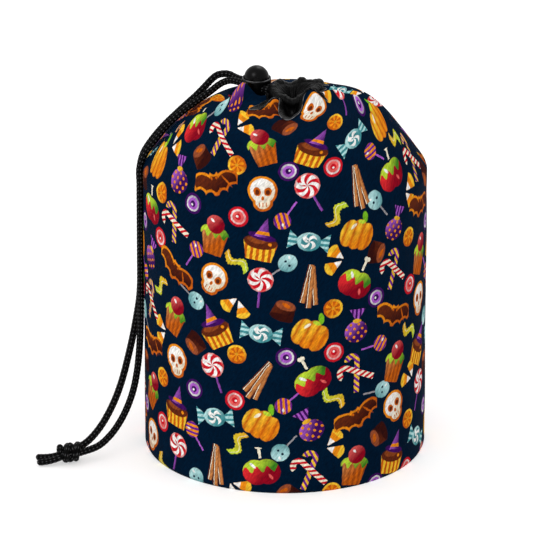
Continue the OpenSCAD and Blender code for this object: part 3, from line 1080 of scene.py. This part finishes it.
front_route = metres([
    [-35.4, 21.6, 239.4], [-39.2, 22.6, 238], [-42.9, 21.9, 236], [-46.6, 20, 233.6],
    [-51, 17.4, 231], [-56.4, 14.7, 228], [-62.4, 12.2, 224.4], [-68.8, 10, 219.8],
    [-75.5, 8, 213.8], [-82.2, 5.6, 206.2], [-89, 3, 197.6], [-92.9, 0.6, 188],
    [-92.9, -1.4, 177], [-92.9, -2.8, 165], [-92.9, -3.4, 152], [-92.9, -3.8, 139],
    [-92.9, -4, 126], [-92.9, -4, 113], [-92.9, -4.2, 100], [-93, -5, 87],
    [-93.4, -6.2, 74], [-94.2, -7.8, 62], [-95.6, -10.2, 50.4], [-98, -13.6, 39.4],
    [-101.8, -18, 29.4], [-106.8, -23, 20.8], [-113, -28.4, 13.8], [-121, -34.2, 8.8],
    [-133.6, -39.8, 6.3]])
back_tail = metres([[-144.6, -38.6, 5], [-150.5, -38.2, 3.4], [-156, -37.4, 2.6], [-160.5, -36.8, 2.5]])
front_tail = metres([[-145.2, -43.8, 5], [-150.5, -44.6, 3.4], [-155.5, -45, 2.6], [-159.5, -45.4, 2.5]])
KNOT = Vector((-0.1398, -0.0396, 0.0063))
KNOT_BEARING = math.radians(20)


def lock_exit(side, distance):
    return LOCK + SLIDE * distance - SLIDE_SIDE * (side * CORD_PITCH / 2) + Vector((0, 0, CORD_Z))


# %% Knot and tails
def knot_piece():
    """An overhand knot: a coil of cord round the two strands, with its end tucked through."""
    ahead = Vector((math.cos(KNOT_BEARING), math.sin(KNOT_BEARING), 0))
    side = Vector((-ahead.y, ahead.x, 0))
    points = []
    for index in range(65):
        part = index / 64
        around = part * 3.2 * 2 * math.pi - 0.6
        reach = 0.0041 * (1 + 0.08 * math.sin(3 * around))
        along = (0.68 - part) * 0.0108 + 0.0009 * math.sin(around * 1.5)
        points.append(KNOT + ahead * along + side * reach * math.cos(around)
                      + Vector((0, 0, 0.0006 + reach * math.sin(around))))
    points = [KNOT + ahead * 0.0086 + side * 0.001, *points, KNOT - ahead * 0.0056 - side * 0.001]
    bm, _, _ = cord_mesh(points, 0.0043, closed_tips=(0.5, 0.5))
    return make_piece("cord_knot_loops", bm, "pouch", BRAID)


def tail_piece(name, route):
    bm, _, _ = cord_mesh([KNOT + (route[0] - KNOT) * 0.3, *route], 0.0042, closed_tips=(1.0, 0.35))
    return make_piece(name, bm, "pouch", BRAID)


knot = knot_piece()
tails = [tail_piece("cord_tail_back", back_tail), tail_piece("cord_tail_front", front_tail)]
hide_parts("cord_knot")
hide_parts("cord_tails")
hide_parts("cord_tails")

# %% The two strands
for label, side, route, pieces_on_it in (
        ("back", 1, back_route, [knot, *tails]), ("front", -1, front_route, [])):
    straight = [lock_exit(side, distance) for distance in (STRAND_START, LOCK_R, STRAND_STRAIGHT)]
    bm, line, length = cord_mesh([*straight, *route], CORD_D)
    strand = make_piece("cord_strand_" + label, bm, "pouch", BRAID)
    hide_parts("strand_" + label)
    lock_exit(side, LOCK_R)
    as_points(line)
    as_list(pieces_on_it)
    print("strand", label, "is", round(length / MM, 1), "mm long")


# Bearing and half width in degrees, rise and reach out in mm where the bunched neck leaves its circle
BUNCHES = (
    (-92, 26, -3.4, 0.4), (-136, 18, -1.8, 0.0), (28, 26, 0.6, 5.0), (98, 30, -1.8, 0.0),
    (-40, 24, -0.6, 0.8))


def neck_line(bearing):
    """Radius and height of the held cord at a bearing from the neck."""
    radius, height = CORD_RING_R, CORD_Z
    for middle, half, rise, out in BUNCHES:
        near = math.exp(-(turn_gap(bearing, middle) / half) ** 2)
        radius += out * MM * near
        height += rise * MM * near
    return radius, height


# %% The cord inside the sleeve
def ring_points():
    """From the lock round the neck and back to the lock."""
    to_lock = math.atan2(LOCK.y, LOCK.x - NECK.x)
    opening = 0.42
    points = [lock_exit(-1, -STRAND_START + 0.002), lock_exit(-1, -LOCK_R + 0.0005)]
    for index in range(31):
        bearing = to_lock + opening + (2 * math.pi - 2 * opening) * index / 30
        radius, height = neck_line(math.degrees(bearing))
        points.append(NECK + Vector((radius * math.cos(bearing), radius * math.sin(bearing), height)))
    return points + [lock_exit(1, -LOCK_R + 0.0005), lock_exit(1, -STRAND_START + 0.002)]


bm, _, _ = cord_mesh(ring_points(), CORD_D, step=0.0009, sides=16)
ring = make_piece("cord_round_neck", bm, "pouch", BRAID)
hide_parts("channel_cord")

# %% [markdown]
# ## The gathered sleeve
#
# The cord runs in a tunnel of black satin. Below the tunnel the satin spreads as a skirt over the printed
# cloth, and where the cloth folds the satin falls into the fold as a dark pointed tongue. The skirt uses
# the shoulder's own surface, lifted a little, so that it always lies on the cloth. Fine pleats come from a
# few sines with different counts, strongest where the cord bunches the cloth.

# %% Sleeve
TUNNEL_R = 0.0027
SLEEVE_SKIRT = 0.45
# Bearing and half width in degrees, and swelling in mm, of the lobes the cord bunches up
LOBES = (
    (126, 13, 2.3), (70, 14, 2.7), (27, 13, 1.9), (-48, 13, 1.2), (-70, 8, 0.9), (-113, 9, 1.2),
    (-8, 11, 1.0), (171, 9, 0.8))
# Bearing and half width in degrees, and reach in mm, of each tongue of the skirt
TONGUES = (
    (-93, 27, 22), (-137, 14, 18), (-24, 13, 7), (2, 12, 4), (27, 18, 9), (76, 14, 8), (108, 12, 5))


def skirt_reach(bearing):
    reach = 1.2 + 0.5 * math.sin(math.radians(bearing * 9))
    for middle, half, far in TONGUES:
        reach += far * ease(1 - abs(turn_gap(bearing, middle)) / half)
    return reach * MM


def pleats(bearing):
    b = math.radians(bearing)
    return 0.5 * math.sin(17 * b + 0.4) + 0.35 * math.sin(29 * b + 1.7) + 0.25 * math.sin(41 * b)


def lobes(bearing):
    """How far in metres the sleeve swells beyond its cord."""
    return sum(far * MM * math.exp(-(turn_gap(bearing, middle) / half) ** 2) for middle, half, far in LOBES)


def sleeve_place(turn, way):
    bearing = 360 * turn + 90
    unit = round_place(bearing, 1)
    ruffle = pleats(bearing)
    if way < SLEEVE_SKIRT:
        part = way / SLEEVE_SKIRT
        radius = EDGE_R + skirt_reach(bearing) * (1 - part)
        angle = math.acos((radius / BODY_R) ** (1 / ROUND_R))
        spot = shoulder_point(bearing, angle)
        wavy = 0.0006 * (1 + ruffle) * math.sin(math.pi * min(part + 0.15, 1))
        spot.z += 0.0005 + wavy + 0.0006 * ease(part)
        return spot
    part = (way - SLEEVE_SKIRT) / (1 - SLEEVE_SKIRT)
    ring_r, ring_z = neck_line(bearing)
    centre = NECK + unit * ring_r + Vector((0, 0, ring_z))
    lump = lobes(bearing)
    top = TUNNEL_R + lump + 0.00032 * ruffle
    if part < 0.5:
        lean = math.radians(-24 + 160 * part / 0.5)
        swell = TUNNEL_R + (top - TUNNEL_R) * math.sin(math.pi * min(part / 0.5 * 0.8 + 0.1, 1))
        return centre + unit * swell * math.cos(lean) + Vector((0, 0, swell * math.sin(lean)))
    part = (part - 0.5) / 0.5
    last = math.radians(136)
    swell = TUNNEL_R + (top - TUNNEL_R) * math.sin(math.pi * 0.9)
    start = ring_r + swell * math.cos(last)
    inner = (0.0022 + 0.9 * lump) * (1 + 0.12 * ruffle)
    sink = ease(part) * 0.0085 + 0.0006 * ruffle * math.sin(math.pi * part)
    reach = start + (inner - start) * math.sin(math.pi / 2 * part)
    return NECK + unit * reach + Vector((0, 0, ring_z + swell * math.sin(last) - sink))


def sleeve_mark(turn, way, middle):
    return (turn * 0.12, way * 0.03)


sleeve = make_piece(
    "gathered_sleeve", rolled_grid(360, 64, sleeve_place, sleeve_mark), "pouch", SATIN)
thicken(sleeve, 0.0004, 1)
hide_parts("neck_casing")

# %% [markdown]
# ## Padding and lining
#
# Inside the printed cloth sit a foam wall and a foam base, and a plain lining hangs free of them. The
# foam swells softly, so its edges are round. The lining follows the shoulder surface from below.

# %% Wall pad and base pad
pad_low, pad_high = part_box("wall_padding")
LINING_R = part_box("lining")[1].x
PAD_IN_R = LINING_R + 0.0002


def pad_place(turn, way):
    """Up the outside of the pad, over its round top, down the inside and back."""
    bearing = 360 * turn + 90
    corner = 0.0011
    low, high = pad_low.z + corner, pad_high.z - corner
    lap = way * 2
    if lap <= 1:
        height = low + (high - low) * lap
        spot = wall_point(bearing, height, CLOTH_T + 0.0002)
        squeeze = corner * (1 - math.sqrt(max(1 - (2 * abs(lap - 0.5)) ** 40, 0)))
        spot -= Vector((spot.x, spot.y, 0)).normalized() * squeeze
        return spot
    height = high - (high - low) * (lap - 1)
    squeeze = corner * (1 - math.sqrt(max(1 - (2 * abs(lap - 1.5)) ** 40, 0)))
    radius = PAD_IN_R + squeeze
    return round_place(bearing, radius, height)


def closed_pad(name, across, along, place, material):
    """A pad is a closed ring, so its first and last rows are joined."""
    bm = rolled_grid(across, along, place, lambda turn, way, middle: (turn, way))
    rims = [edge for edge in bm.edges if edge.is_boundary]
    bmesh.ops.bridge_loops(bm, edges=rims)
    bmesh.ops.recalc_face_normals(bm, faces=bm.faces)
    return make_piece(name, bm, "pouch", material)


wall_pad = closed_pad("wall_pad", 120, 60, pad_place, FOAM)
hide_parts("wall_padding")

foam_low, foam_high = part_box("base_foam")


def base_pad_place(turn, way):
    """A thin round cushion: out along the bottom, round the rim and in along the top."""
    bearing = turn * 2 * math.pi
    half = (foam_high.z - foam_low.z) / 2
    middle = (foam_high.z + foam_low.z) / 2
    reach = foam_high.x - half
    if way < 0.4:
        radius, height = reach * way / 0.4, foam_low.z
    elif way > 0.6:
        radius, height = reach * (1 - way) / 0.4, foam_high.z
    else:
        lean = math.pi * (way - 0.4) / 0.2 - math.pi / 2
        radius, height = reach + half * math.cos(lean), middle + half * math.sin(lean)
    return Vector((radius * math.cos(bearing), radius * math.sin(bearing), height))


base_pad = make_piece(
    "base_pad", rolled_grid(72, 40, base_pad_place, lambda turn, way, middle: (turn, way)),
    "pouch", FOAM)
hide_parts("base_foam")

# %% Lining
LINING_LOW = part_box("lining")[0].z
LINING_DEEP = BODY_R - LINING_R
LINING_T = 0.0006


def lining_place(turn, way):
    bearing = 360 * turn + 90
    length = LINING_LOW + (CLOTH_LENGTH - LINING_LOW - 0.004) * way
    if length < WALL_TOP:
        return round_place(bearing, LINING_R - 0.0002, length)
    deep = 0.0016 + (LINING_DEEP - 0.0014) * ease(1 - (length - WALL_TOP) / 0.03)
    return shoulder_point(bearing, curl_angle(length), deep)


lining = make_piece(
    "lining_cloth", rolled_grid(144, 72, lining_place, outer_mark), "pouch", LINING)
thicken(lining, LINING_T, -1)
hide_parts("lining")
CLOTH_LENGTH - LINING_LOW

floor_low, floor_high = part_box("base_lining")
lining_disc = disc_place(floor_high.x - 0.0002, floor_low.z + LINING_T)
base_lining = make_piece(
    "base_lining_cloth", rolled_grid(72, 10, lining_disc, disc_mark(lining_disc)), "pouch",
    LINING)
thicken(base_lining, LINING_T, -1)
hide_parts("base_lining")

# %% [markdown]
# ## Small parts of the lock
#
# The barrel and the button keep their engineering shapes. A bead runs round the barrel's rim, with a painted
# highlight that shows as a thin grey line, and a shallow arch marks the press point on the front of the
# button.


# %% Rim bead and arch
def bead_piece(name, points, diameter, body, material=PLASTIC):
    """A round bead along the points, closed into a ring when its ends meet."""
    line, length = smooth_line(points, diameter * 0.5)
    frames = carried_frames(line)
    steps = len(line) - 1

    def place(turn, way):
        index = round(way * steps)
        side, up = frames[index]
        bearing = turn * 2 * math.pi
        return line[index] + (side * math.cos(bearing) + up * math.sin(bearing)) * diameter / 2

    bm = rolled_grid(10, steps, place, lambda turn, way, middle: (turn, way * length), capped=True)
    return make_piece(name, bm, body, material)


def circle_points(centre, radius, height, count=48):
    points = []
    for index in range(count + 1):
        points.append(centre + round_place(360 * index / count, radius, height))
    return points


# The grey of the rim bead is a painted highlight.
bead_piece(
    "lock_rim_bead", circle_points(LOCK, LOCK_R - 0.0004, RIM_Z), 0.0007, "cord_lock", material=PAINTED_RIM_HIGHLIGHT)
BUTTON_R = (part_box("lock_plunger")[1].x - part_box("lock_plunger")[0].x) / 2
arch_points = []
for index in range(17):
    lean = math.pi * index / 16
    sideways = 0.0026 * math.cos(lean)
    rise = 0.0012 + 0.0016 * math.sin(lean)
    out = math.sqrt(BUTTON_R ** 2 - sideways ** 2 - rise ** 2)
    arch_points.append(LOCK + Vector((sideways, -out, RIM_Z + rise)))
bead_piece("button_arch", arch_points, 0.0005, "lock_button")

# %% Rolled edge of the sleeve
hem_points = []
for index in range(361):
    spot = sleeve_place(index / 360, 0.0)
    hem_points.append(spot + Vector((0, 0, 0.0002)))
bead_piece("sleeve_rolled_edge", hem_points, 0.0005, "pouch", EDGE_THREAD)

# %% [markdown]
# ## Seam and stitches
#
# The tube of printed cloth closes at the back with a seam. Its stitches are a short loop of thread each,
# built once with few faces and copied up the seam in two rows.


# %% Stitches
def stitch_row(name, places, body):
    """One small rounded stitch at each (middle, direction, outward) place."""
    bm = bmesh.new()
    for middle, ahead, outward in places:
        made = bmesh.ops.create_icosphere(bm, subdivisions=1, radius=1.0)
        side = ahead.cross(outward)
        shape = Matrix((ahead * 0.0013, side * 0.00028, outward * 0.00028)).transposed().to_4x4()
        bmesh.ops.transform(bm, matrix=Matrix.Translation(middle) @ shape, verts=made["verts"])
    return make_piece(name, bm, body, THREAD)


def seam_places(bearing):
    places = []
    for index in range(58):
        height = 0.006 + index * 0.0031
        places.append((wall_point(bearing, height), Vector((0, 0, 1)), round_place(bearing, 1)))
    return places


stitch_row("seam_stitches_left", seam_places(88.6), "pouch")
stitch_row("seam_stitches_right", seam_places(91.4), "pouch")
